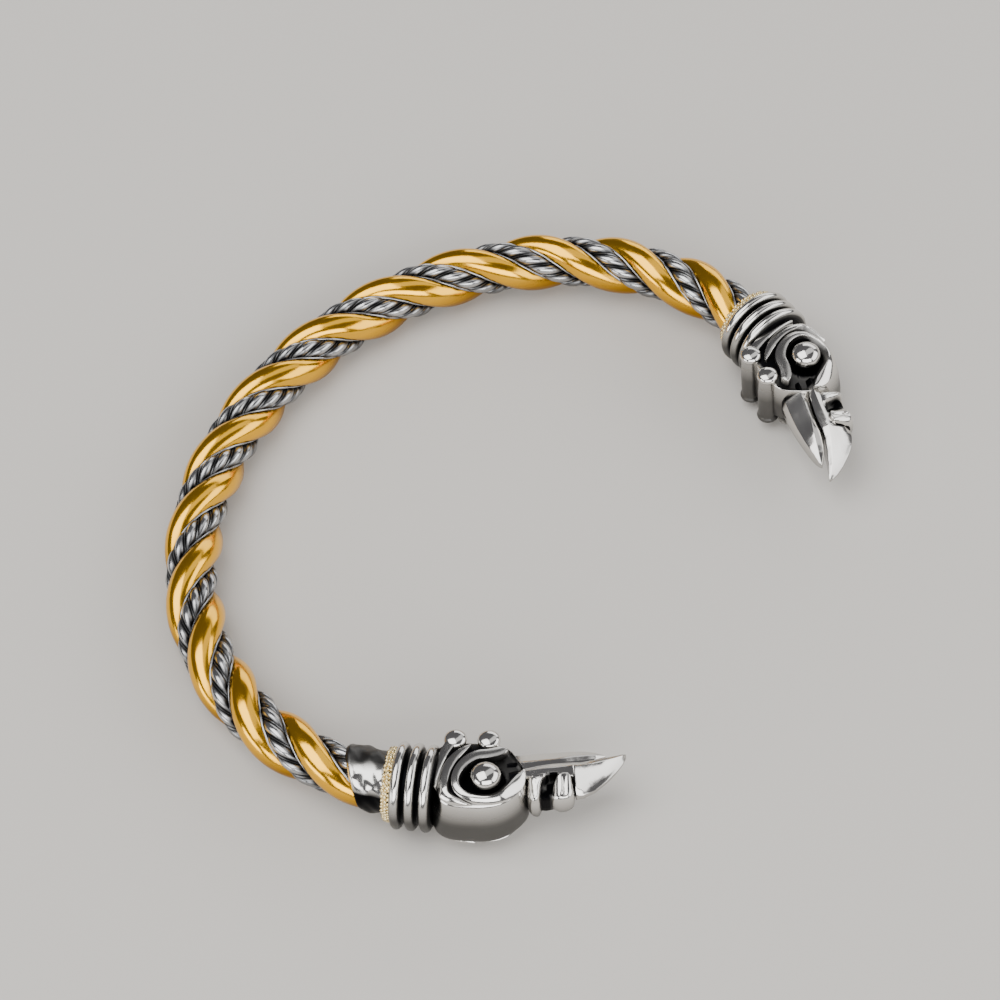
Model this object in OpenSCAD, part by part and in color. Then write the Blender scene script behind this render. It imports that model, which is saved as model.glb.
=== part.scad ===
// Open wrist torc: a rope of two smooth gold strands and two silver strands,
// bent to an oval ring, with a cast bird's head on each end.
// It lies as it rests, on the heads' undersides and the back of the rope.
// The gap faces -Y and the longest side runs along X.

/* [Ring] */
// Half width of the rope's centre line, side to side
ring_half_x = 36.1; // [35:0.1:37.5]
// Half depth of the rope's centre line, gap to back
ring_half_y = 30.5; // [29.5:0.1:31.5]
// Length along the centre line from the middle of the gap to a collar's rim
rim_arc = 44.4; // [44:0.2:46]

/* [Rope] */
// Radius over the crests of the gold strands
gold_crest = 2.95; // [2.8:0.05:3]
// Radius over the crests of the silver strands
silver_crest = 2.7; // [2.6:0.05:2.8]
// Length along the rope of one full turn of the lay
lay_length = 17.9; // [16:0.1:20]
// Part of each half turn that is gold
gold_share = 0.58; // [0.55:0.01:0.6]
// Height angle of the first gold strand at the back of the ring
lay_start = 51; // [0:1:180]
// Gap between neighbouring pieces
piece_gap = 0.12; // [0.08:0.01:0.2]

/* [Collars] */
// Radius of a collar between its ribs
collar_r = 3.85; // [3.7:0.05:4]
// Radius of the round section of a collar rib
rib_r = 0.48; // [0.4:0.02:0.55]
// Distance from rib to rib
rib_pitch = 1.45; // [1.4:0.01:1.5]
// Depth of the socket that takes the rope's end
socket_depth = 3.2; // [2.5:0.1:3.5]

/* [Heads] */
// Height of a head's crown over its middle plane
crown_h = 3.7; // [3.5:0.05:3.8]
// Radius of the eye ball
eye_r = 1.4; // [1.3:0.05:1.5]
// Radius of the round eye socket
eye_socket_r = 2.2; // [2.1:0.05:2.3]
// Radius of the two knobbed bars on the inner side
bar_r = 1.16; // [1:0.02:1.2]
// How far a head's middle plane lies below the rope's
head_drop = 0.35; // [0:0.05:0.5]

/* [Hidden] */
$fn = 48;

gold = "goldenrod";
silver = "silver";

// Round domes of the strand sections: half height along the radius, half width
gold_dome = [1.42, 1.66];
silver_dome = [1.08, 1.2];
// Radius at which the wedge of a strand ends, and at which two strands part
core_r = 0.45;
valley_r = 2;
// Turn of the lay from one section of a strand to the next
section_turn = 15;
gold_steps = 8;
silver_steps = 6;
wedge_sides = 3;

function unit(v) = v / norm(v);

// The centre line is an ellipse, counted by turn angle from the middle of the gap
function ring_point(turn) = [ring_half_x * sin(turn), -ring_half_y * cos(turn)];
function outward(turn) = unit([sin(turn) / ring_half_x, -cos(turn) / ring_half_y]);
arc_table = [for (turn = 0, arc = 0; turn <= 360;
                  arc = arc + norm(ring_point(turn + 1) - ring_point(turn)),
                  turn = turn + 1) [arc, turn]];
ring_length = arc_table[len(arc_table) - 1][0];
function turn_at(arc) = lookup(arc, arc_table);

// Point at a length along the centre line, a distance outward and a height
function on_ring(arc, out, up) =
    let (turn = turn_at(arc), p = ring_point(turn), o = outward(turn))
    [p[0] + out * o[0], p[1] + out * o[1], up];

// Closed skin over a row of rings that have equal numbers of points.
// The last `crossed` columns of sides are split along the other diagonal.
module skin(rings, crossed = 0) {
    count = len(rings[0]);
    last = (len(rings) - 1) * count;
    sides = [for (i = [0 : len(rings) - 2], j = [0 : count - 1])
        let (a = i * count + j, b = i * count + (j + 1) % count)
        each j < count - crossed ? [[a, b, b + count], [a, b + count, a + count]]
                                 : [[a, b, a + count], [b, b + count, a + count]]];
    first_cap = [for (j = [count - 1 : -1 : 0]) j];
    last_cap = [for (j = [0 : count - 1]) last + j];
    polyhedron([for (ring = rings) each ring], concat(sides, [first_cap, last_cap]), 10);
}

// Radius at which a ray from the rope's axis leaves a round dome under the crest
function dome_radius(crest, dome, ray) =
    let (centre = crest - dome[0],
         square = pow(cos(ray) / dome[0], 2) + pow(sin(ray) / dome[1], 2),
         half_line = centre * cos(ray) / pow(dome[0], 2),
         rest = pow(centre / dome[0], 2) - 1)
    (half_line + sqrt(pow(half_line, 2) - square * rest)) / square;

// Section of one strand, as rays and radii: a round dome on a wedge that ends near the axis
function strand_section(crest, dome, half_angle, steps) =
    let (edge = half_angle - asin(piece_gap / 2 / valley_r),
         root = half_angle - asin(piece_gap / 2 / core_r))
    concat([for (i = [0 : steps])
                let (ray = edge * (2 * i / steps - 1)) [ray, dome_radius(crest, dome, ray)]],
           [[root, core_r], [-root, core_r]]);
gold_section = strand_section(gold_crest, gold_dome, 90 * gold_share, gold_steps);
silver_section = strand_section(silver_crest, silver_dome, 90 * (1 - gold_share), silver_steps);

rope_from = rim_arc - socket_depth + piece_gap;
rope_to = ring_length - rope_from;
rope_sections = round((rope_to - rope_from) / lay_length * 360 / section_turn);
function lay_angle(arc) = lay_start - 360 * (arc - ring_length / 2) / lay_length;

// One strand, swept along the ring and turned with the lay, by quarter turns from the first.
// Where two strands face each other, their diagonals run the same way and the gap stays even.
module strand(section, quarter) {
    skin([for (i = [0 : rope_sections])
        let (arc = rope_from + (rope_to - rope_from) * i / rope_sections,
             lay = lay_angle(arc) + 90 * quarter)
        [for (point = section)
            on_ring(arc, point[1] * cos(lay + point[0]), point[1] * sin(lay + point[0]))]],
        crossed = quarter % 2 == 1 ? wedge_sides : 0);
}

// A head stands at its eye's station, its beak along +X and the ring's outer side along +Y
eye_arc = 34.8;
collar_arc = 42.2;
module at_station(arc) {
    o = outward(turn_at(arc));
    p = ring_point(turn_at(arc));
    translate([p[0], p[1], 0]) rotate([0, 0, atan2(o[1], o[0]) - 90]) children();
}
function head_point(along, out) =
    let (o = outward(turn_at(eye_arc)), p = ring_point(turn_at(eye_arc)))
    [p[0] + out * o[0] + along * o[1], p[1] + out * o[1] - along * o[0]];

// The collar is turned round a straight axis along the rope's end
collar_len = 5.2;
rim_at = 0.45;
rim_sink = 0.6;
first_rib_at = 1.2;
socket_r = gold_crest + 0.17;
module along_collar() {
    at_station(collar_arc) translate([collar_arc - rim_arc, 0, 0]) rotate([0, 90, 0]) children();
}
module collar() {
    along_collar() rotate_extrude() {
        square([collar_r - rim_sink, collar_len]);
        translate([0, first_rib_at]) square([collar_r, collar_len - first_rib_at]);
        translate([collar_r - rim_sink, rim_at]) circle(rim_at);
        for (i = [0 : 2])
            translate([collar_r, first_rib_at + i * rib_pitch]) circle(rib_r);
    }
}
module rope_socket() {
    along_collar() translate([0, 0, -1]) cylinder(r = socket_r, h = socket_depth + 1);
}

// Section of the body's upper half, as shares of its half width and its height:
// steep at the sides and lightly crowned on top
body_section = [
    [1, 0.4], [0.98, 0.66], [0.89, 0.83], [0.68, 0.93], [0.35, 0.98],
    [-0.1, 1], [-0.55, 0.98], [-0.84, 0.91], [-0.97, 0.75], [-1, 0.4]];
// Body stations: place along the head, inner side, outer side, share of the crown's height
body_stations = [
    [-4.85, -3.9, 3.1, 0.95],
    [-4.15, -4.1, 3.8, 1.0],
    [-3.3, -4.1, 4.3, 1.0],
    [-2.0, -4.0, 4.6, 1.0],
    [-0.4, -3.8, 4.7, 1.0],
    [1.0, -3.5, 4.4, 0.98],
    [2.2, -3.2, 3.5, 0.93],
    [3.0, -3.0, 2.6, 0.85],
    [3.8, -2.7, 1.4, 0.7]];
function barrel(station) =
    let (middle = (station[1] + station[2]) / 2, half = (station[2] - station[1]) / 2,
         high = station[3] * crown_h, last = len(body_section) - 1)
    [for (i = [0 : 2 * last + 1])
        let (up = i > last ? 1 : -1, point = body_section[i > last ? 2 * last + 1 - i : i])
        [station[0], middle + half * point[0], up * high * point[1]]];

// Beak stations: place along the head, parting side, crease, edge, half height.
// The upper half has two ridges and then a blade, and the lower half is a plain leaf.
upper_beak = [
    [2.6, -0.1, 0.6, 1.6, 2.2],
    [3.8, -0.2, 0.6, 1.5, 2.1],
    [4.5, -0.4, 0.6, 3.3, 2.4],
    [5.2, -0.6, 0.5, 2.2, 2.2],
    [5.7, -0.7, 0.4, 1.5, 2.0],
    [6.4, -0.8, 0.3, 2.7, 2.1],
    [7.2, -0.8, 0.2, 3.1, 2.1],
    [8.2, -0.8, 0.0, 2.6, 1.9],
    [8.5, -0.8, 0.0, 1.6, 1.7],
    [8.9, -0.8, -0.1, 2.3, 1.7],
    [10.0, -1.1, -0.3, 1.7, 1.4],
    [11.6, -1.7, -1.0, 0.4, 1.0],
    [13.0, -2.2, -1.7, -1.1, 0.6],
    [13.9, -2.5, -2.4, -2.2, 0.25]];
lower_beak = [
    [2.0, -0.3, -1.0, -2.6, 2.1],
    [4.0, -0.5, -1.1, -2.6, 2.0],
    [6.0, -1.0, -1.5, -2.7, 1.7],
    [8.5, -1.0, -1.6, -2.8, 1.3],
    [10.4, -1.5, -1.9, -2.75, 0.8],
    [11.8, -2.2, -2.3, -2.5, 0.25]];
edge_share = 0.35;
function creased(station) =
    let (up = station[1] < station[3] ? 1 : -1, high = up * station[4], low = edge_share * high)
    [[station[0], station[1], low], [station[0], station[2], high], [station[0], station[3], low],
     [station[0], station[3], -low], [station[0], station[2], -high],
     [station[0], station[1], -low]];

eye_place = [0.05, 1.05];
eye_height = 3.2;
eye_floor = 2.1;
module eye_socket() {
    translate([eye_place[0], eye_place[1], eye_floor]) cylinder(r = eye_socket_r, h = crown_h);
}

// The groove round the back of the eye parts two raised ribbons
groove_from = eye_socket_r + 0.95;
groove_w = 0.5;
groove_floor = 2.7;
groove_start = 135;
groove_turn = 110;
module ribbon_groove() {
    translate([eye_place[0], eye_place[1], groove_floor]) rotate([0, 0, groove_start])
        rotate_extrude(angle = groove_turn) translate([groove_from, 0]) square([groove_w, crown_h]);
}

// Two bars run down the inner side, each with a low dome above and below
bar_places = [[-2.6, -4.1], [0.7, -3.65]];
bar_half = 3.3;
dome_h = 0.35;
dome_steps = 4;
module knobbed_bar() {
    dome = [for (i = [0 : dome_steps])
        let (turn = 90 * i / dome_steps) [bar_r * sin(turn), bar_half + dome_h * cos(turn)]];
    below = [for (i = [dome_steps : -1 : 0]) [dome[i][0], -dome[i][1]]];
    rotate_extrude() polygon(concat(dome, below));
}

module head_body() {
    difference() {
        skin([for (station = body_stations) barrel(station)]);
        for (side = [0, 1]) mirror([0, 0, side]) {
            eye_socket();
            ribbon_groove();
        }
    }
    for (side = [-1, 1])
        translate([eye_place[0], eye_place[1], side * eye_height]) sphere(eye_r);
    for (place = bar_places) translate([place[0], place[1], 0]) knobbed_bar();
}

module beak() {
    skin([for (station = upper_beak) creased(station)]);
    skin([for (station = lower_beak) creased(station)]);
}

module head() {
    difference() {
        union() {
            collar();
            translate([0, 0, -head_drop]) at_station(eye_arc) {
                head_body();
                beak();
            }
        }
        rope_socket();
    }
}

// At rest the eyes' undersides and the back of the rope meet the ground
eye_low = eye_height + eye_r + head_drop;
eye_y = head_point(eye_place[0], eye_place[1])[1];
rest_tilt = asin((eye_low - gold_crest) / (ring_half_y - eye_y));
rest_lift = ring_half_y * sin(rest_tilt) + gold_crest;
beak_tip = upper_beak[len(upper_beak) - 1];
front_y = head_point(beak_tip[0], beak_tip[2])[1];
centre_y = (ring_half_y + gold_crest + front_y) / 2;
module laid_down() {
    translate([0, -centre_y, rest_lift]) rotate([-rest_tilt, 0, 0]) children();
}

module gold_strand(quarter) { color(gold) laid_down() strand(gold_section, quarter); }
module silver_strand(quarter) { color(silver) laid_down() strand(silver_section, quarter); }
module right_head() { color(silver) laid_down() head(); }
module left_head() { color(silver) laid_down() mirror([1, 0, 0]) head(); }

gold_strand(0);  // gold_strand_1
gold_strand(2);  // gold_strand_2
silver_strand(1);  // silver_strand_1
silver_strand(3);  // silver_strand_2
right_head();
left_head();
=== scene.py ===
from math import atan2, cos, hypot, pi, radians, sin, sqrt, tau
from random import Random

import bmesh
import bpy
from mathutils import Matrix, Vector


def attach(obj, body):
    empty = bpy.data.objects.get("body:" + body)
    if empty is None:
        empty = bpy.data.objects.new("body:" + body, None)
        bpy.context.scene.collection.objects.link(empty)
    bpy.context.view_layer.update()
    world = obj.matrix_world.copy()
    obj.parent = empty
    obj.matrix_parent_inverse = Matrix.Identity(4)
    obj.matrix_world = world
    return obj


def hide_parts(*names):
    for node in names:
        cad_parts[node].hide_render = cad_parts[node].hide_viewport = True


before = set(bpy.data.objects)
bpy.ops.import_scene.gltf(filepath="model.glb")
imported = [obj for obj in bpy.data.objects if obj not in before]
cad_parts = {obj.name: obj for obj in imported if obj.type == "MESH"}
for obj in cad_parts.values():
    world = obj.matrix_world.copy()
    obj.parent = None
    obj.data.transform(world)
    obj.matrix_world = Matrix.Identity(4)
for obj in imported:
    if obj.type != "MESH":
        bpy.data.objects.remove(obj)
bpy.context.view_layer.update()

# Sizes of the part's source, in millimetres, in the frame of the flat ring. Arcs are counted
# along its centre line from the middle of the gap. LAY_START is in degrees
RING_HALF_X = 36.1
RING_HALF_Y = 30.5
RING_LENGTH = 209.6
RIM_ARC = 44.4
COLLAR_ARC = 42.2
EYE_ARC = 34.8
ROPE_FROM = 41.32
GOLD_CREST = 2.95
LAY_LENGTH = 17.9
LAY_START = 51
GOLD_SHARE = 0.58
PIECE_GAP = 0.12
HEAD_DROP = 0.35

# The flat ring is leaned and lifted until it rests on the heads and the back
REST_TILT = 2.41198
REST_LIFT = 4.23358
CENTRE_Y = 3.71455
at_rest = (Matrix.Scale(0.001, 4)
           @ Matrix.Translation((0, -CENTRE_Y, REST_LIFT))
           @ Matrix.Rotation(-radians(REST_TILT), 4, "X"))


# Handling of pieces
def pick(piece):
    if bpy.context.object and bpy.context.object.mode == "EDIT":
        bpy.ops.object.mode_set(mode="OBJECT")
    bpy.ops.object.select_all(action="DESELECT")
    piece.select_set(True)
    bpy.context.view_layer.objects.active = piece


def edit(piece):
    pick(piece)
    bpy.ops.object.mode_set(mode="EDIT")
    bpy.ops.mesh.select_mode(type="VERT")


def done():
    bpy.ops.object.mode_set(mode="OBJECT")


def shape(spots):
    """Puts the selected points, in their order, at the given spots."""
    mesh = bmesh.from_edit_mesh(bpy.context.edit_object.data)
    for point, spot in zip([p for p in mesh.verts if p.select], spots):
        point.co = spot
    bmesh.update_edit_mesh(bpy.context.edit_object.data)


def apply(piece, kind, **settings):
    """Adds a modifier with its settings and applies it."""
    pick(piece)
    bpy.ops.object.modifier_add(type=kind)
    modifier = piece.modifiers[-1]
    for name, value in settings.items():
        setattr(modifier, name, value)
    bpy.ops.object.modifier_apply(modifier=modifier.name)


def place(piece, matrix):
    """Writes the place of a piece into its mesh."""
    pick(piece)
    piece.matrix_world = matrix
    bpy.ops.object.transform_apply(location=True, rotation=True, scale=True)


def right_side_out(piece):
    """Turns all normals outward."""
    edit(piece)
    bpy.ops.mesh.select_all(action="SELECT")
    bpy.ops.mesh.normals_make_consistent(inside=False)
    done()


def smooth(piece, degrees):
    """Smooth shading that keeps edges sharper than the angle crisp."""
    pick(piece)
    bpy.ops.object.shade_smooth_by_angle(angle=radians(degrees))


def hand_over(piece, name, node):
    """Names a finished piece, lets it ride with the torc and hides the part it stands for."""
    piece.name = name
    piece.data.name = name
    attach(piece, "root")
    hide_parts(node)


# Materials. Grain is in repeats a metre
WEAR_GRAIN = 260.0
RIPPLE_GRAIN = 900.0
# Roughness where black oxide and painted shade are marked
OXIDE_AND_SHADE_ROUGHNESS = 0.42


def tone(code):
    """Linear colour of an sRGB hex value."""
    parts = [int(code[i:i + 2], 16) / 255 for i in (1, 3, 5)]
    return [c / 12.92 if c <= 0.04045 else ((c + 0.055) / 1.055) ** 2.4 for c in parts] + [1]


def add_node(tree, kind, inputs=None, **settings):
    """Adds one node; each input is given a value or the output that feeds it."""
    made = tree.nodes.new(kind)
    for name, value in settings.items():
        setattr(made, name, value)
    for name, value in (inputs or {}).items():
        if isinstance(value, bpy.types.NodeSocket):
            tree.links.new(value, made.inputs[name])
        else:
            made.inputs[name].default_value = value
    return made


def metal(name, bright, worn, dark, roughness, ripple, scratches, oxide_and_shade=True):
    """A polished metal: fine scratches, a soft hand-worked ripple, and a dark colour marked in for
    black oxide in hollows and for painted shade.
    """
    material = bpy.data.materials.new(name)
    material.use_nodes = True
    tree = material.node_tree
    tree.nodes.clear()
    here = add_node(tree, "ShaderNodeTexCoord").outputs["Object"]
    patches = add_node(tree, "ShaderNodeTexNoise",
                       {"Vector": here, "Scale": WEAR_GRAIN, "Detail": 4.0})
    fine = add_node(tree, "ShaderNodeTexNoise",
                    {"Vector": here, "Scale": scratches, "Detail": 3.0, "Roughness": 0.6})
    colour = add_node(tree, "ShaderNodeMix",
                      {"Factor": patches.outputs["Fac"], "A": tone(bright), "B": tone(worn)},
                      data_type="RGBA")
    gloss = add_node(tree, "ShaderNodeMapRange",
                     {"Value": fine.outputs["Fac"],
                      "To Min": roughness[0], "To Max": roughness[1]})
    base, rough = colour.outputs[2], gloss.outputs["Result"]
    if oxide_and_shade:
        # The mark blends in the dark colour: black oxide in hollows, painted shade elsewhere
        depth = add_node(tree, "ShaderNodeAttribute", attribute_name="oxide_and_shade").outputs["Fac"]
        base = add_node(tree, "ShaderNodeMix", {"Factor": depth, "A": base, "B": tone(dark)},
                        data_type="RGBA").outputs[2]
        rough = add_node(tree, "ShaderNodeMapRange",
                         {"Value": depth, "To Min": rough,
                          "To Max": OXIDE_AND_SHADE_ROUGHNESS}).outputs["Result"]
    wave = add_node(tree, "ShaderNodeTexNoise",
                    {"Vector": here, "Scale": RIPPLE_GRAIN, "Detail": 2.0})
    bump = add_node(tree, "ShaderNodeBump",
                    {"Height": wave.outputs["Fac"], "Distance": ripple, "Strength": 1.0})
    shader = add_node(tree, "ShaderNodeBsdfPrincipled",
                      {"Base Color": base, "Metallic": 1.0, "Roughness": rough,
                       "Normal": bump.outputs["Normal"]})
    add_node(tree, "ShaderNodeOutputMaterial", {"Surface": shader.outputs["BSDF"]})
    return material


# Gilt bronze, drawn, and burnished after laying: a deep warm yellow with broad light strips. Its
# dark colour is painted shade on the strands' inner flanks and low sides
gilt = metal("Gilt_bronze_burnished", bright="#FFC336", worn="#F8B72C", dark="#4A2003",
             roughness=(0.13, 0.22), ripple=0.000012, scratches=2600.0)
# Sterling silver wire, twisted and oxidised: crests rubbed bright, the grooves left black. Its
# dark colour is also painted shade beside the rails, on the rails' inner faces and on the low
# sides
twisted = metal("Sterling_silver_twisted_oxidised", bright="#D6D6D5", worn="#A5A5A8",
                dark="#0A0A0C", roughness=(0.13, 0.25), ripple=0.00001, scratches=3000.0)
# Sterling silver, lost-wax cast and hand polished: near white with soft pools of shade. Its dark
# colour is black oxide in recesses and also painted shade on low sides, rib flanks, flat band
# tops, knob grooves, the solder's inner side and the beak's neck
cast = metal("Sterling_silver_cast_polished", bright="#E4E2DE", worn="#CBC8C3",
             dark="#0C0C0E", roughness=(0.08, 0.17), ripple=0.000012, scratches=2200.0)
# Pale gilding over granulation on the collars' rims: a light, grainy glitter
pale_gilt = metal("Pale_gilt_granulation", bright="#F3E3B8", worn="#E0C98E", dark="#3A2A14",
                  roughness=(0.16, 0.28), ripple=0.00002, scratches=3000.0, oxide_and_shade=False)


def wear(piece, material):
    """Gives the whole piece one material."""
    piece.data.materials.clear()
    piece.data.materials.append(material)


def loft(rings):
    """A circle shaped to the first ring of points and extruded to each of the others."""
    bpy.ops.object.select_all(action="DESELECT")
    bpy.ops.mesh.primitive_circle_add(vertices=len(rings[0]), radius=1, fill_type="NGON")
    piece = bpy.context.object
    edit(piece)
    bpy.ops.mesh.select_all(action="SELECT")
    shape(rings[0])
    for ring_points in rings[1:]:
        bpy.ops.mesh.extrude_region_move()
        shape(ring_points)
    bpy.ops.mesh.select_all(action="SELECT")
    bpy.ops.mesh.normals_make_consistent(inside=False)
    done()
    return piece


def lathe(profile, steps=96, closed=False):
    """A line of (place along X, radius) points, extruded point by point and spun round X."""
    bpy.ops.object.select_all(action="DESELECT")
    bpy.ops.mesh.primitive_plane_add(size=1)
    piece = bpy.context.object
    edit(piece)
    bpy.ops.mesh.select_all(action="SELECT")
    bpy.ops.mesh.merge(type="CENTER")
    bpy.ops.mesh.select_all(action="SELECT")
    shape([(profile[0][0], 0, profile[0][1])])
    points = list(profile[1:]) + ([profile[0]] if closed else [])
    for along, radius in points:
        bpy.ops.mesh.extrude_region_move()
        shape([(along, 0, radius)])
    bpy.ops.mesh.select_all(action="SELECT")
    bpy.ops.mesh.spin(steps=steps, angle=tau, center=(0, 0, 0), axis=(1, 0, 0))
    bpy.ops.mesh.select_all(action="SELECT")
    bpy.ops.mesh.remove_doubles(threshold=0.0005)
    bpy.ops.mesh.normals_make_consistent(inside=False)
    done()
    return piece


def join(pieces):
    pick(pieces[0])
    for piece in pieces[1:]:
        piece.select_set(True)
    bpy.ops.object.join()
    return bpy.context.object


def twin(piece, matrix):
    """A copy with its own mesh, placed by a matrix and turned right side out."""
    pick(piece)
    bpy.ops.object.duplicate()
    copy = bpy.context.object
    place(copy, matrix)
    right_side_out(copy)
    return copy


def above_and_below(piece):
    """Joins a piece of the head's upper half with its mirror image below."""
    return join([piece, twin(piece, Matrix.Diagonal((1, 1, -1, 1)))])


def below(value, edge, fade):
    """0 at the edge and rising to 1 over the fade below it."""
    return (edge - value) / fade


def above(value, edge, fade):
    """0 at the edge and rising to 1 over the fade above it."""
    return (value - edge) / fade


def painted_low_shade(height, start=2.35, rate=0.34, most=0.84):
    """Painted shade greying a low side, darker towards the bottom."""
    return min(most, max(0, (start - height) * rate))


def darken(piece, how_deep):
    """Marks each point from 0, bright, to 1, black, for black oxide and for painted shade. A
    deeper mark stays.
    """
    marks = piece.data.attributes
    mark = marks.get("oxide_and_shade") or marks.new("oxide_and_shade", "FLOAT", "POINT")
    for point, value in zip(piece.data.vertices, mark.data):
        value.value = min(1, max(value.value, how_deep(point.co)))


# The ring as a path for the rope: a circle curve pulled to the oval. The curve modifier
# counts from the curve's last point, which this puts at the middle of the gap.
def ring_path():
    bpy.ops.object.select_all(action="DESELECT")
    bpy.ops.curve.primitive_bezier_circle_add(radius=1)
    path = bpy.context.object
    path.data.twist_mode = "Z_UP"
    path.data.resolution_u = 64
    path.data.use_radius = False
    place(path, Matrix.Diagonal((-RING_HALF_X, RING_HALF_Y, 1, 1)))
    return path


ring = ring_path()
rope_length = RING_LENGTH - 2 * ROPE_FROM
rope_turn = tau * rope_length / LAY_LENGTH


def lay_at_start(quarter):
    """Turn of a strand where the rope starts, from the ring's inner side towards its top."""
    lay = LAY_START + 90 * quarter - 360 * (ROPE_FROM - RING_LENGTH / 2) / LAY_LENGTH
    return radians(180 - lay)


def lay_in_rope(piece, quarter):
    """Turns a straight strand to its quarter, bends it round the ring and lays it to rest."""
    place(piece, Matrix.Translation((0, 0, ROPE_FROM))
          @ Matrix.Rotation(lay_at_start(quarter), 4, "Z"))
    apply(piece, "CURVE", object=ring, deform_axis="POS_Z")
    # Painted shade on the strands' low sides
    darken(piece, lambda p: painted_low_shade(p.z, start=0.7, rate=0.36, most=0.66))
    place(piece, at_rest)


# A gold strand: a full round section between two wedge planes, screwed along the rope. Its flanks
# get painted shade from the root radius inward, where the strands meet
GOLD_DOME = (1.42, 1.66)
GOLD_POINTS = 40
GOLD_STEPS = 520
GOLD_SHADE_ROOT = 2.3
WELD = 0.0001


def gold_strand(number, quarter):
    bpy.ops.object.select_all(action="DESELECT")
    bpy.ops.mesh.primitive_circle_add(vertices=GOLD_POINTS, radius=1, fill_type="NGON")
    piece = bpy.context.object
    edit(piece)
    bpy.ops.mesh.select_all(action="SELECT")
    bpy.ops.transform.resize(value=(GOLD_DOME[0], GOLD_DOME[1], 1))
    bpy.ops.transform.translate(value=(GOLD_CREST - GOLD_DOME[0], 0, 0))
    for side in (1, -1):
        edge = side * radians(90 * GOLD_SHARE)
        normal = Vector((-sin(edge), cos(edge), 0)) * side
        bpy.ops.mesh.select_all(action="SELECT")
        bpy.ops.mesh.bisect(plane_co=-normal * PIECE_GAP / 2, plane_no=normal,
                            clear_outer=True, threshold=WELD)
    bpy.ops.mesh.select_all(action="SELECT")
    bpy.ops.mesh.delete(type="ONLY_FACE")
    done()
    apply(piece, "SCREW", axis="Z", angle=rope_turn, screw_offset=rope_length,
          steps=GOLD_STEPS, render_steps=GOLD_STEPS, use_normal_calculate=True)
    edit(piece)
    bpy.ops.mesh.select_all(action="SELECT")
    bpy.ops.mesh.remove_doubles(threshold=WELD)
    bpy.ops.mesh.fill_holes(sides=0)
    bpy.ops.mesh.normals_make_consistent(inside=False)
    done()
    darken(piece, lambda p: below(hypot(p.x, p.y), GOLD_SHADE_ROOT, 0.5))
    lay_in_rope(piece, quarter)
    smooth(piece, 35)
    wear(piece, gilt)
    hand_over(piece, f"gold_strand_{number}_polished", f"gold_strand_{number}")


gold_strand(1, 0)
gold_strand(2, 2)

# A silver strand: a cord with a steep left-hand twist between two thin rails. Three fat lobes
# go round it, with a thin wire in the black groove between them
CORD_AXIS = 1.7
CORD_TWIST = 5.1
CORD_LOBES = 3
LOBE_RADII = (1.0, 0.99, 0.96, 0.905, 0.83, 0.71, 0.86, 0.71, 0.83, 0.905, 0.96, 0.99)
CORD_STEPS = 1000
RAIL_RADIUS = 0.2
RAIL_ASIDE = 1.0
RAIL_POINTS = 12
RAIL_STEPS = 500
PATH_STEPS = 1400
cord_length = sqrt(rope_length ** 2 + (rope_turn * CORD_AXIS) ** 2)


def cord_path():
    """The line of a cord in the straight rope: a right-hand screw round the rope's axis."""
    data = bpy.data.curves.new("cord_path", "CURVE")
    data.dimensions = "3D"
    data.twist_mode = "Z_UP"
    data.use_radius = False
    line = data.splines.new("POLY")
    line.points.add(PATH_STEPS)
    for i, point in enumerate(line.points):
        turn = rope_turn * i / PATH_STEPS
        along = rope_length * i / PATH_STEPS
        point.co = (CORD_AXIS * cos(turn), CORD_AXIS * sin(turn), along, 1)
    path = bpy.data.objects.new("cord_path", data)
    bpy.context.collection.objects.link(path)
    return path


screw_line = cord_path()


def drawn_out(piece, turn, steps):
    """Draws the outline of a piece out to the length of a cord and closes the ends."""
    apply(piece, "SCREW", axis="Z", angle=turn, screw_offset=cord_length, steps=steps,
          render_steps=steps, use_normal_calculate=True)
    edit(piece)
    bpy.ops.mesh.select_all(action="SELECT")
    bpy.ops.mesh.fill_holes(sides=0)
    bpy.ops.mesh.normals_make_consistent(inside=False)
    done()


def cord_shade(spot):
    """The grooves between the lobes are black with oxide; the cord's two sides beside the rails
    are black with painted shade.
    """
    return max(below(hypot(spot.x, spot.y), 0.94, 0.13), above(abs(spot.y), 0.55, 0.35))


def straight_cord():
    """A circle shaped to the lobes' section and drawn out with the cord's own twist."""
    radii = LOBE_RADII * CORD_LOBES
    turns = [tau * i / len(radii) for i in range(len(radii))]
    bpy.ops.object.select_all(action="DESELECT")
    bpy.ops.mesh.primitive_circle_add(vertices=len(radii), radius=1)
    piece = bpy.context.object
    edit(piece)
    bpy.ops.mesh.select_all(action="SELECT")
    shape([(radius * cos(turn), radius * sin(turn), 0) for radius, turn in zip(radii, turns)])
    done()
    drawn_out(piece, -tau * cord_length / CORD_TWIST, CORD_STEPS)
    darken(piece, cord_shade)
    return piece


def straight_rail(side):
    """A thin smooth wire beside the cord, grey on the face turned out and black with painted shade
    on the face turned in.
    """
    bpy.ops.mesh.primitive_circle_add(vertices=RAIL_POINTS, radius=RAIL_RADIUS,
                                      location=(0, side * RAIL_ASIDE, 0))
    piece = bpy.context.object
    place(piece, piece.matrix_world.copy())
    drawn_out(piece, 0, RAIL_STEPS)
    darken(piece, lambda p: max(0.3, above(p.x, -0.1, 0.2)))
    return piece


def silver_strand(number, quarter):
    piece = join([straight_cord(), straight_rail(1), straight_rail(-1)])
    apply(piece, "CURVE", object=screw_line, deform_axis="POS_Z")
    lay_in_rope(piece, quarter)
    smooth(piece, 70)
    wear(piece, twisted)
    hand_over(piece, f"silver_strand_{number}_twisted",
              f"silver_strand_{number}")


silver_strand(1, 1)
silver_strand(2, 3)


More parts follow.
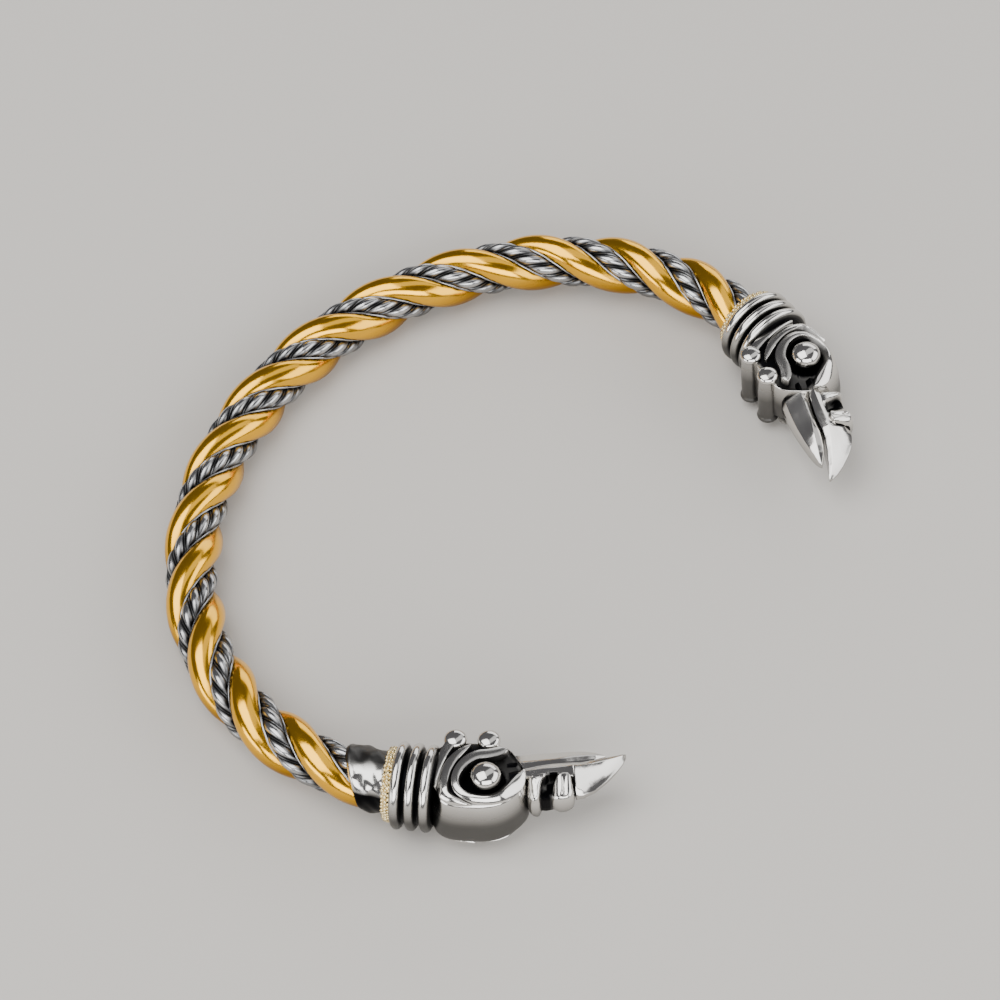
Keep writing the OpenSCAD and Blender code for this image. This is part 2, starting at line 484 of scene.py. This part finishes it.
# Places on the ring, counted along its centre line from the middle of the gap
def ring_point(turn):
    return Vector((RING_HALF_X * sin(turn), -RING_HALF_Y * cos(turn), 0))


def turn_at(arc):
    step = radians(0.5)
    turn = 0
    while True:
        stride = (ring_point(turn + step) - ring_point(turn)).length
        if arc <= stride:
            return turn + step * arc / stride
        arc -= stride
        turn += step


def station(arc):
    """Frame with +X towards the gap and +Y to the ring's outer side."""
    turn = turn_at(arc)
    facing = atan2(-cos(turn) / RING_HALF_Y, sin(turn) / RING_HALF_X)
    return Matrix.Translation(ring_point(turn)) @ Matrix.Rotation(facing - pi / 2, 4, "Z")


collar_frame = station(COLLAR_ARC) @ Matrix.Translation((COLLAR_ARC - RIM_ARC, 0, 0))
head_frame = Matrix.Translation((0, 0, -HEAD_DROP)) @ station(EYE_ARC)
far_side = Matrix.Diagonal((-1, 1, 1, 1))


def on_both_heads(piece, name, frame_here, angle=35):
    """Sets a piece on the right head and its mirror image on the left one."""
    copy = twin(piece, at_rest @ far_side @ frame_here)
    place(piece, at_rest @ frame_here)
    for made, side in ((piece, "right"), (copy, "left")):
        smooth(made, angle)
        hand_over(made, f"{side}_{name}", f"{side}_head")


# The collar: three bold ribs with black grooves, turned round the rope's end. The lines are
# its front edge, one half of a rib, the groove after it and the disc that closes the back
COLLAR_FRONT = ((0.3, 3.02), (0.3, 3.4), (0.45, 3.5))
RIBS = (1.2, 2.65, 4.1)
HALF_RIB = ((-0.56, 3.55), (-0.5, 3.9), (-0.4, 4.12), (-0.26, 4.26), (-0.1, 4.32))
GROOVE = (0.62, 3.5)
COLLAR_BACK = ((4.75, 3.2), (4.75, 0), (4.45, 0), (4.45, 3.02))


def collar():
    outline = list(COLLAR_FRONT)
    for rib in RIBS:
        outline += [(rib + x, r) for x, r in HALF_RIB]
        outline += [(rib - x, r) for x, r in reversed(HALF_RIB)]
        outline.append((rib + GROOVE[0], GROOVE[1]))
    outline += COLLAR_BACK
    piece = lathe(outline, closed=True)
    # The grooves are black with oxide; the ribs' flanks are darkened partly with painted shade,
    # and the low side gets painted shade
    darken(piece, lambda p: max(below(hypot(p.y, p.z), 4.2, 0.33), painted_low_shade(p.z)))
    wear(piece, cast)
    on_both_heads(piece, "collar", collar_frame)


collar()


# The rim: a broad pale gilt ring covered with fused granules of uneven size, in three rows
# that stray a little, in shares of a granule's step round the rim and in millimetres along
RIM_PROFILE = ((-0.17, 3.02), (-0.17, 3.25), (-0.04, 3.45), (0.2, 3.56), (0.5, 3.56),
               (0.75, 3.45), (0.8, 3.02))
GRANULE_ROWS = ((0.02, 3.46), (0.32, 3.55), (0.6, 3.52))
GRANULES = 52
GRANULE_RADII = (0.18, 0.26)
STRAY_ROUND = 0.25
STRAY_ALONG = 0.06


def rim():
    chance = Random(7)
    made = [lathe(RIM_PROFILE, closed=True)]
    for row, (along, radius) in enumerate(GRANULE_ROWS):
        for i in range(GRANULES):
            turn = tau * (i + row / 2 + chance.uniform(-STRAY_ROUND, STRAY_ROUND)) / GRANULES
            bpy.ops.mesh.primitive_uv_sphere_add(segments=8, ring_count=5,
                                                 radius=chance.uniform(*GRANULE_RADII))
            granule = bpy.context.object
            stray = chance.uniform(-STRAY_ALONG, STRAY_ALONG)
            place(granule, Matrix.Rotation(turn, 4, "X")
                  @ Matrix.Translation((along + stray, 0, radius)))
            made.append(granule)
    piece = join(made)
    wear(piece, pale_gilt)
    on_both_heads(piece, "collar_rim", collar_frame, angle=60)


rim()

# Lumps of silver solder over the rope's end at the left head. They reach from the collar
# over the rope, furthest on the inner side, and end in a lip that turns down to the strands.
# Turns are counted from the outer side over the top
SOLDER_TO = 0.1
SOLDER_FROM = -3.6
SOLDER_SLANT = 1.0
SOLDER_FURTHEST = radians(130)
SOLDER_RADIUS = 3.1
LIP_DEPTH = 0.8
LIP_SHARE = 0.125
SOLDER_STEPS = 20
SOLDER_POINTS = 64
SOLDER_RECESS = radians(36)
SOLDER_SHADED = radians(75)
# How tightly the rope bends where the solder lies
BEND_RADIUS = 27


def solder_lumps(turn, along):
    """Three waves over each other, from broad lumps to small ones."""
    return (0.1 * sin(2 * turn + 1.7 * along) + 0.06 * sin(5 * turn - 2.6 * along + 1)
            + 0.03 * sin(9 * turn + 4 * along))


def solder_shade(spot):
    """The recess low on the outer side is black, and the inner side is nearly black with painted
    shade.
    """
    turn = atan2(spot.z, spot.y)
    return max(below(turn, SOLDER_RECESS, 0.15), 0.9 * min(1, above(turn, SOLDER_SHADED, 0.3)))


def solder():
    rings = []
    for i in range(SOLDER_STEPS + 1):
        share = i / SOLDER_STEPS
        lip = LIP_DEPTH * max(0, 1 - share / LIP_SHARE) ** 2
        points = []
        for j in range(SOLDER_POINTS):
            turn = tau * j / SOLDER_POINTS
            begin = SOLDER_FROM - SOLDER_SLANT * cos(turn - SOLDER_FURTHEST)
            along = begin + (SOLDER_TO - begin) * share
            radius = SOLDER_RADIUS + solder_lumps(turn, along) - lip
            aside = (along - RIM_ARC + COLLAR_ARC) ** 2 / 2 / BEND_RADIUS
            points.append((along, radius * cos(turn) - aside, radius * sin(turn)))
        rings.append(points)
    piece = loft(rings)
    darken(piece, solder_shade)
    wear(piece, cast)
    place(piece, at_rest @ far_side @ collar_frame)
    right_side_out(piece)
    smooth(piece, 50)
    hand_over(piece, "left_solder", "left_head")


solder()

# Plan of the body at the strap's lower edge, place along the head and place outward
BODY_PLAN = (
    (-4.85, -3.3), (-4.85, -1.5), (-4.95, 0), (-5, 1.5), (-4.75, 2.6), (-4.05, 3.25), (-3, 3.6),
    (-1.7, 3.82), (-0.4, 3.98), (0.8, 3.85), (1.9, 3.4), (2.8, 2.65), (3.45, 1.75), (3.8, 0.8),
    (3.85, 0), (3.6, -0.8), (3.2, -1.6), (2.8, -2.5), (2.2, -3.1), (1.2, -3.5), (0, -3.7),
    (-1.3, -3.9), (-2.6, -4.1), (-3.9, -4))
# Rings of the body: height, how far out of the plan, and the same on the outer side
BODY_RINGS = (
    (-3.2, -2.4, -2.1), (-3.1, -1.1, -0.8), (-2.85, -0.35, 0.1), (-2.6, -0.05, 0.5),
    (-2.3, 0.05, 0.68), (-1.5, 0.1, 0.72), (0, 0.15, 0.55), (1.5, 0.1, 0.35), (2.2, 0.05, 0.16),
    (2.5, -0.02, 0.02), (2.8, -0.3, -0.3), (3.1, -1.1, -1.1), (3.2, -2.4, -2.4))
BODY_MIDDLE = (-0.4, 0)
OUTER_SIDE_FROM = 1.3
# Above this height is the ground between the bands. Before the sockets it comes down by a
# share, and there it is a black floor within an oval of these half sizes
GROUND_HEIGHT = 2.5
FRONT_FROM = 1.2
FRONT_LENGTH = 1.2
FRONT_DROP = 0.3
FLOOR_HALF = (4.25, 3.9)
EYE_PLACE = (-0.02, 1.0)
SOCKET_PLACE = (-0.25, 1.0)
SOCKET_RADIUS = 2.15
SOCKET_FLOOR = 2.1
CUTTER_DEPTH = 3


def body_shade(spot):
    """The sockets, the low ground before them and the ground between the bands are black; the
    lower walls get painted shade.
    """
    height = abs(spot.z)
    if hypot(spot.x - SOCKET_PLACE[0], spot.y - SOCKET_PLACE[1]) < SOCKET_RADIUS + 0.1:
        return 1
    share = hypot((spot.x - BODY_MIDDLE[0]) / FLOOR_HALF[0], spot.y / FLOOR_HALF[1])
    if spot.x > 1 and height > 1.85 and share < 0.92:
        return 0.9
    return max(above(height, GROUND_HEIGHT, 0.25),
               painted_low_shade(spot.z) if height < GROUND_HEIGHT else 0)


def body():
    middle = Vector(BODY_MIDDLE)
    rings = []
    for height, out, outer_out in BODY_RINGS:
        points = []
        for along, outward in BODY_PLAN:
            spot = Vector((along, outward)) - middle
            spot *= 1 + (outer_out if outward > OUTER_SIDE_FROM else out) / spot.length
            spot += middle
            front = min(1, max(0, above(along, FRONT_FROM, FRONT_LENGTH)))
            low = 1 - FRONT_DROP * front if abs(height) > GROUND_HEIGHT else 1
            points.append((spot.x, spot.y, height * low))
        rings.append(points)
    piece = loft(rings)
    apply(piece, "SUBSURF", levels=2, render_levels=2)
    for side in (1, -1):
        bpy.ops.object.select_all(action="DESELECT")
        bpy.ops.mesh.primitive_cylinder_add(
            vertices=64, radius=SOCKET_RADIUS, depth=CUTTER_DEPTH,
            location=(*SOCKET_PLACE, side * (SOCKET_FLOOR + CUTTER_DEPTH / 2)))
        cutter = bpy.context.object
        apply(piece, "BOOLEAN", object=cutter, operation="DIFFERENCE", solver="EXACT")
        bpy.data.objects.remove(cutter)
    darken(piece, body_shade)
    wear(piece, cast)
    on_both_heads(piece, "head_body", head_frame)


body()

# Raised bands of the body: place along, place outward, height, width, tilt outward
RIBBON_EYE = (
    (2.2, -2.3, 3.35, 0.5, 0), (2.05, -2.15, 3.42, 0.95, 0), (1.5, -1.88, 3.5, 1.15, 0),
    (0.5, -1.66, 3.6, 1.15, 0), (-0.6, -1.6, 3.65, 1.15, 0), (-1.6, -1.1, 3.68, 1.1, 0),
    (-2.4, -0.3, 3.68, 0.95, 0), (-2.9, 0.6, 3.66, 0.85, 5), (-3.05, 1.5, 3.6, 0.8, 12),
    (-2.85, 2.3, 3.45, 0.8, 25), (-2.2, 3.0, 3.22, 0.85, 42), (-1.2, 3.5, 3.06, 0.95, 50),
    (0.2, 3.7, 3.0, 1.0, 52), (1.4, 3.4, 2.96, 1.15, 50), (2.3, 2.7, 2.9, 1.4, 44),
    (3.1, 1.75, 2.88, 1.35, 36), (3.6, 0.95, 2.92, 0.95, 33), (3.8, 0.35, 2.95, 0.3, 30))
RIBBON_OUTER = (
    (-1.1, -3.05, 3.4, 0.2, 0), (-1.7, -2.6, 3.55, 0.6, 0), (-2.4, -2.0, 3.62, 0.85, 0),
    (-3.15, -1.2, 3.62, 1.0, 5), (-3.76, -0.22, 3.6, 1.05, 8), (-4.15, 0.8, 3.55, 1.1, 12),
    (-4.38, 1.72, 3.4, 1.15, 25), (-4.3, 2.48, 3.2, 1.1, 40), (-3.74, 3.1, 3.0, 1.0, 52),
    (-2.9, 3.52, 2.87, 0.75, 58), (-2.1, 3.76, 2.78, 0.35, 58), (-1.6, 3.86, 2.75, 0.1, 58))
RIBBON_KNOB = (
    (-3.0, -3.7, 3.35, 1.1, 0), (-3.72, -2.5, 3.52, 1.0, 5), (-4.2, -1.45, 3.6, 0.85, 8),
    (-4.6, -0.35, 3.62, 0.65, 10), (-4.9, 0.75, 3.56, 0.45, 12), (-5.05, 1.6, 3.45, 0.15, 15))
# Section of a band, from the eye's side to the groove's: share of half the width, height
# and how black it is
BAND_SECTION = ((-1, -0.9, 1), (-1, -0.2, 0.7), (-0.95, -0.04, 0), (-0.7, 0.03, 0),
                (0, 0.03, 0), (0.55, 0, 0), (0.9, -0.07, 0), (1, -0.25, 0.5),
                (1, -0.9, 1))
# The flat tops of the bands get painted shade, darker than the strap, which turns down by this
# tilt
TOP_PAINTED_SHADE = 0.32
STRAP_TILT = 25
# The underside is broader than the top, so its bands lie further out
BANDS_BELOW = Matrix.Diagonal((1.03, 1.12, -1, 1))


def smooth_line(rows, count):
    """Points of a smooth line through rows of numbers."""
    made = []
    last = len(rows) - 1
    for i in range(count + 1):
        at = i * last / count
        k = min(int(at), last - 1)
        t = at - k
        before, here, there, after = (rows[min(max(k + n, 0), last)] for n in (-1, 0, 1, 2))
        made.append([0.5 * (2 * b + (c - a) * t + (2 * a - 5 * b + 4 * c - d) * t ** 2
                            + (3 * b - a - 3 * c + d) * t ** 3)
                     for a, b, c, d in zip(before, here, there, after)])
    return made


def band(rows, steps):
    """The band's section, drawn in even steps along the smooth line of its rows."""
    line = smooth_line(rows, steps)
    rings = []
    for i, (along, outward, height, width, tilt) in enumerate(line):
        ahead = line[min(i + 1, steps)]
        behind = line[max(i - 1, 0)]
        way = Vector((ahead[0] - behind[0], ahead[1] - behind[1])).normalized()
        side = Vector((-way.y, way.x))
        lean = radians(tilt)
        rings.append([(along + side.x * (a * cos(lean) + b * sin(lean)),
                       outward + side.y * (a * cos(lean) + b * sin(lean)),
                       height + b * cos(lean) - a * sin(lean))
                      for a, b in ((share * width / 2, rise) for share, rise, _ in BAND_SECTION)])
    piece = loft(rings)
    # The mark: black down the band's sides, and painted shade on the flat tops
    mark = piece.data.attributes.new("oxide_and_shade", "FLOAT", "POINT")
    for i, value in enumerate(mark.data):
        flat = 1 - min(1, line[i // len(BAND_SECTION)][4] / STRAP_TILT)
        value.value = max(BAND_SECTION[i % len(BAND_SECTION)][2], TOP_PAINTED_SHADE * flat)
    return piece


def bands():
    upper = join([band(RIBBON_EYE, 72), band(RIBBON_OUTER, 44), band(RIBBON_KNOB, 20)])
    piece = join([upper, twin(upper, BANDS_BELOW)])
    wear(piece, cast)
    on_both_heads(piece, "head_bands", head_frame, angle=50)


bands()


# The eye: a polished, slightly flattened ball in the black socket, on a stem that ends
# inside the socket's floor
BALL_TOP = 4.6
BALL_RADIUS = 1.55
BALL_HALF_HEIGHT = 1.2
BALL_STEPS = 26
STEM = ((1.95, 0.4), (1.95, 0))


def eye():
    centre = BALL_TOP - BALL_HALF_HEIGHT
    turns = [pi * i / BALL_STEPS for i in range(BALL_STEPS - 2)]
    ball = [(centre + BALL_HALF_HEIGHT * cos(turn), BALL_RADIUS * sin(turn)) for turn in turns]
    piece = lathe(ball + list(STEM), steps=64)
    place(piece, Matrix.Translation((*EYE_PLACE, 0)) @ Matrix.Rotation(-pi / 2, 4, "Y"))
    piece = above_and_below(piece)
    darken(piece, lambda p: below(abs(p.z), 2.7, 0.4))
    wear(piece, cast)
    on_both_heads(piece, "eye_balls", head_frame)


eye()

# Two bars down the inner side, each with a domed knob above and below
BAR_PLACES = ((-2.55, -4.1), (0.7, -3.6))
KNOB_PROFILE = ((3.65, 0), (3.63, 0.35), (3.56, 0.66), (3.42, 0.92), (3.22, 1.09),
                (3.02, 1.14), (2.86, 1.1), (2.75, 1.02), (2.6, 0.98), (0, 1.05))
KNOB_FOOT = 2.68


def bar_shade(spot):
    """Painted shadow in the groove at each knob's foot, and painted shade greying the low sides.
    """
    return max(0.8 - abs(abs(spot.z) - KNOB_FOOT) / 0.16, painted_low_shade(spot.z))


def bars():
    made = []
    for along, outward in BAR_PLACES:
        profile = list(KNOB_PROFILE) + [(-x, r) for x, r in reversed(KNOB_PROFILE[:-1])]
        bar = lathe(profile, steps=48)
        place(bar, Matrix.Translation((along, outward, 0)) @ Matrix.Rotation(-pi / 2, 4, "Y"))
        made.append(bar)
    piece = join(made)
    darken(piece, bar_shade)
    wear(piece, cast)
    on_both_heads(piece, "knobbed_bars", head_frame)


bars()

# The two halves of the beak in cuts across them: place along, parting side and its height,
# crest and its height, edge of the facet and its height, bulge of the wall and its height
UPPER_BEAK = (
    (2.3, -0.05, 2.2, 0.4, 2.55, 1.3, 2.0, 1.3, 0.8),
    (3.4, -0.25, 2.2, 0.3, 2.6, 1.1, 2.1, 1.1, 0.8),
    (3.9, -0.35, 2.2, 0.2, 2.6, 0.65, 2.3, 0.65, 0.8),
    (5.2, -0.6, 2.1, 0.05, 2.55, 0.65, 2.2, 0.65, 0.8),
    (6.6, -0.8, 1.95, -0.1, 2.42, 0.55, 2.1, 0.55, 0.8),
    (8.0, -0.88, 1.8, -0.18, 2.27, 0.6, 1.85, 0.6, 0.8),
    (8.55, -0.9, 1.74, -0.2, 2.2, 0.7, 1.6, 0.7, 0.8),
    (8.62, -0.9, 1.72, -0.2, 2.2, 1.65, 1.02, 2.1, 0.3),
    (9.3, -0.96, 1.55, -0.33, 1.94, 1.6, 0.7, 2.1, 0.28),
    (10.5, -1.27, 1.25, -0.67, 1.54, 1.1, 0.42, 1.6, 0.22),
    (11.7, -1.65, 0.95, -1.1, 1.2, 0.2, 0.37, 0.65, 0.18),
    (12.8, -2.0, 0.65, -1.6, 0.86, -0.85, 0.36, -0.45, 0.15),
    (13.55, -2.28, 0.4, -2.05, 0.52, -1.65, 0.24, -1.4, 0.1),
    (13.9, -2.38, 0.2, -2.3, 0.24, -2.15, 0.12, -2.05, 0.06))
LOWER_BEAK = (
    (2.2, -0.35, 1.9, -0.9, 2.3, -2.5, 1.35, -2.7, 0.55),
    (3.2, -0.5, 1.9, -1.1, 2.25, -2.75, 1.2, -3.05, 0.45),
    (4.9, -0.75, 1.85, -1.2, 2.1, -2.88, 1.02, -3.2, 0.4),
    (6.9, -1.05, 1.65, -1.4, 1.85, -2.92, 0.85, -3.2, 0.35),
    (8.5, -1.15, 1.4, -1.8, 1.6, -2.9, 0.82, -3.1, 0.3),
    (9.8, -1.35, 1.05, -2.05, 1.25, -2.8, 0.78, -2.95, 0.25),
    (10.9, -1.75, 0.75, -2.25, 0.85, -2.65, 0.6, -2.72, 0.2),
    (11.6, -2.15, 0.4, -2.35, 0.45, -2.5, 0.36, -2.52, 0.12),
    (11.9, -2.3, 0.2, -2.37, 0.24, -2.42, 0.19, -2.43, 0.08))


def beak_half(cuts):
    """Each cut and its mirror image below make one ring, from the head to the tip."""
    rings = []
    for along, part, low, crest, top, edge, rim_height, wall, bulge in cuts:
        half = [(part, low), (crest, top), (edge, rim_height), (wall, bulge)]
        rings.append([(along, out, high) for out, high in half]
                     + [(along, out, -high) for out, high in reversed(half)])
    return loft(rings)


# Teeth on the outer edge of the upper half: the foot all round with its height, then the
# crest above it, and in the second tooth the shallow valley between its two crests
FIRST_TOOTH = (
    ((3.85, 0.35, 1.9), (3.78, 1.2, 1.55), (3.76, 2.0, 1.3), (3.85, 2.6, 1.1), (4.1, 2.95, 1.1),
     (4.55, 3.08, 1.25), (4.9, 2.95, 1.35), (5.1, 2.6, 1.6), (5.33, 1.9, 1.9), (5.45, 1.3, 2.1),
     (5.85, 0.75, 2.25), (6.5, 0.38, 2.3)),
    ((4.5, 0.35, 2.5), (4.6, 1.2, 2.4), (4.64, 2.0, 2.15), (4.62, 2.5, 1.9), (4.6, 2.75, 1.7),
     (4.63, 2.8, 1.65), (4.7, 2.75, 1.7), (4.74, 2.4, 1.95), (4.78, 1.9, 2.17), (4.85, 1.35, 2.35),
     (5.2, 0.8, 2.44), (5.8, 0.4, 2.46)))
SECOND_TOOTH = (
    ((6.85, 0.45, 2.2), (6.3, 1.1, 1.6), (6.02, 1.8, 1.15), (6.05, 2.4, 0.95), (6.4, 2.85, 0.9),
     (7.0, 3.02, 0.95), (7.6, 2.98, 1.0), (8.1, 2.8, 1.0), (8.45, 2.4, 1.15), (8.42, 1.5, 1.55),
     (8.38, 0.9, 1.85), (8.3, 0.45, 2.05)),
    ((7.1, 0.5, 2.36), (7.25, 1.1, 2.25), (7.28, 1.7, 2.05), (7.2, 2.2, 1.82), (7.05, 2.6, 1.5),
     (7.12, 2.7, 1.4), (7.45, 2.68, 1.3), (7.7, 2.6, 1.35), (7.78, 2.2, 1.6), (7.85, 1.6, 1.88),
     (7.95, 1.0, 2.08), (8.15, 0.5, 2.2)),
    ((7.45, 0.7, 2.24), (7.42, 1.2, 2.02), (7.42, 1.7, 1.78), (7.38, 2.1, 1.55),
     (7.34, 2.35, 1.35), (7.38, 2.42, 1.28), (7.48, 2.42, 1.28), (7.56, 2.32, 1.35),
     (7.6, 2.1, 1.48), (7.66, 1.6, 1.74), (7.7, 1.1, 2.0), (7.72, 0.7, 2.18)))
TOOTH_BULGE = 1.05
# Between the teeth a low web closes the notch and is coloured black with it
WEB = ((5.0, 0.3), (7.0, 0.3), (6.4, 2.5), (5.6, 2.6), (5.0, 2.5))
WEB_HEIGHT = 1.0
# Black places: the neck under the strap, which is painted shade, the gap behind the first tooth,
# the slit behind the second one and the notch between them, whose line curves towards the tip
NECK_END = 3.7
GAP_END = 3.9
SLIT_ALONG = 8.52
SLIT_HALF = 0.1
NOTCH_ALONG = 5.62
NOTCH_HALF = 0.72
LOW_BEAK_FROM = 0.85


def tooth(loops):
    """Both mirror images of the loops, with a slightly fuller waist between them."""
    foot = loops[0]
    middle = sum((Vector(spot[:2]) for spot in foot), Vector((0, 0))) / len(foot)
    belly = [(*(middle + TOOTH_BULGE * (Vector(spot[:2]) - middle)), 0) for spot in foot]
    below = [[(u, v, -z) for u, v, z in loop] for loop in reversed(loops)]
    piece = loft(below + [belly] + list(loops))
    apply(piece, "SUBSURF", levels=2, render_levels=2)
    return piece


def beak_shade(spot):
    """The black places fade into the metal, whose low sides get painted shade."""
    height = abs(spot.z)
    low = painted_low_shade(spot.z, start=LOW_BEAK_FROM)
    if spot.y > 0.6 and spot.x < 4:
        return below(spot.x, GAP_END, 0.2)
    if spot.x < NECK_END:
        return below(spot.x, NECK_END, 0.5)
    if abs(spot.x - SLIT_ALONG) < SLIT_HALF and height < 1.9 and spot.y > 0.3:
        return 1
    if spot.y > 0.35 and height < 2.3:
        off_notch = abs(spot.x - NOTCH_ALONG - ((3 - spot.y) / 2.6) ** 2)
        return max(below(off_notch, NOTCH_HALF, 0.2), low)
    return low


def beak():
    web = loft([[(u, v, z) for u, v in WEB] for z in (-WEB_HEIGHT, WEB_HEIGHT)])
    piece = join([beak_half(UPPER_BEAK), beak_half(LOWER_BEAK), tooth(FIRST_TOOTH),
                  tooth(SECOND_TOOTH), web])
    apply(piece, "BEVEL", width=0.05, segments=2, limit_method="ANGLE", angle_limit=radians(25))
    apply(piece, "SUBSURF", subdivision_type="SIMPLE", levels=2, render_levels=2)
    darken(piece, beak_shade)
    wear(piece, cast)
    on_both_heads(piece, "beak", head_frame, angle=25)


beak()


# Pale floor under the torc: uncoated paper, an even ground without a shine
bpy.ops.object.select_all(action="DESELECT")
bpy.ops.mesh.primitive_plane_add(size=3)
floor = bpy.context.object
floor.name = "floor"
paper = bpy.data.materials.new("Paper_pale")
paper.use_nodes = True
surface = paper.node_tree.nodes["Principled BSDF"]
surface.inputs["Base Color"].default_value = tone("#C4C0BA")
surface.inputs["Roughness"].default_value = 0.85
wear(floor, paper)


# Soft studio light in a dim grey room: broad windows overhead, beside the camera and in
# front, a low one at the left, and two weaker panels at the right
LIGHTS_AIM = Vector((0, 0, 0.004))


def softbox(name, at, size, watts):
    light = bpy.data.lights.new(name, "AREA")
    light.shape = "RECTANGLE"
    light.size, light.size_y = size
    light.energy = watts
    lamp = bpy.data.objects.new(name, light)
    bpy.context.collection.objects.link(lamp)
    lamp.location = at
    lamp.rotation_euler = (LIGHTS_AIM - Vector(at)).to_track_quat("-Z", "Y").to_euler()


softbox("window_overhead", (-0.35, 0.3, 0.89), (0.95, 0.95), 11.0)
softbox("window_camera", (-0.69, -0.56, 0.46), (1.15, 0.56), 9.5)
softbox("window_front", (0.4, -0.8, 0.43), (1.15, 0.6), 6.5)
softbox("ceiling_right", (0.42, -0.1, 0.9), (0.5, 1.1), 1.6)
softbox("wall_right", (0.9, 0.2, 0.3), (0.9, 0.45), 2.5)
softbox("window_left", (-0.9, 0.42, 0.14), (0.6, 0.3), 2.6)
room = bpy.data.worlds.new("room")
room.use_nodes = True
room.node_tree.nodes["Background"].inputs["Color"].default_value = tone("#8C8C90")
room.node_tree.nodes["Background"].inputs["Strength"].default_value = 0.5
bpy.context.scene.world = room

# The camera stands where the photograph was taken from
CAMERA_AT = Vector((-0.2613, -0.169414, 0.395053))
CAMERA_AIM = Vector((0.00296, -0.000775, 0.001317))
CAMERA_ROLL = -0.8274
CAMERA_LENS = 176.1
lens = bpy.data.cameras.new("camera")
lens.lens = CAMERA_LENS
lens.sensor_width = 36
lens.clip_start = 0.01
camera = bpy.data.objects.new("camera", lens)
bpy.context.collection.objects.link(camera)
camera.location = CAMERA_AT
camera.rotation_mode = "QUATERNION"
camera.rotation_quaternion = ((CAMERA_AIM - CAMERA_AT).to_track_quat("-Z", "Y")
                              @ Matrix.Rotation(radians(CAMERA_ROLL), 3, "Z").to_quaternion())
bpy.context.scene.camera = camera

for helper in (ring, screw_line):
    bpy.data.objects.remove(helper)
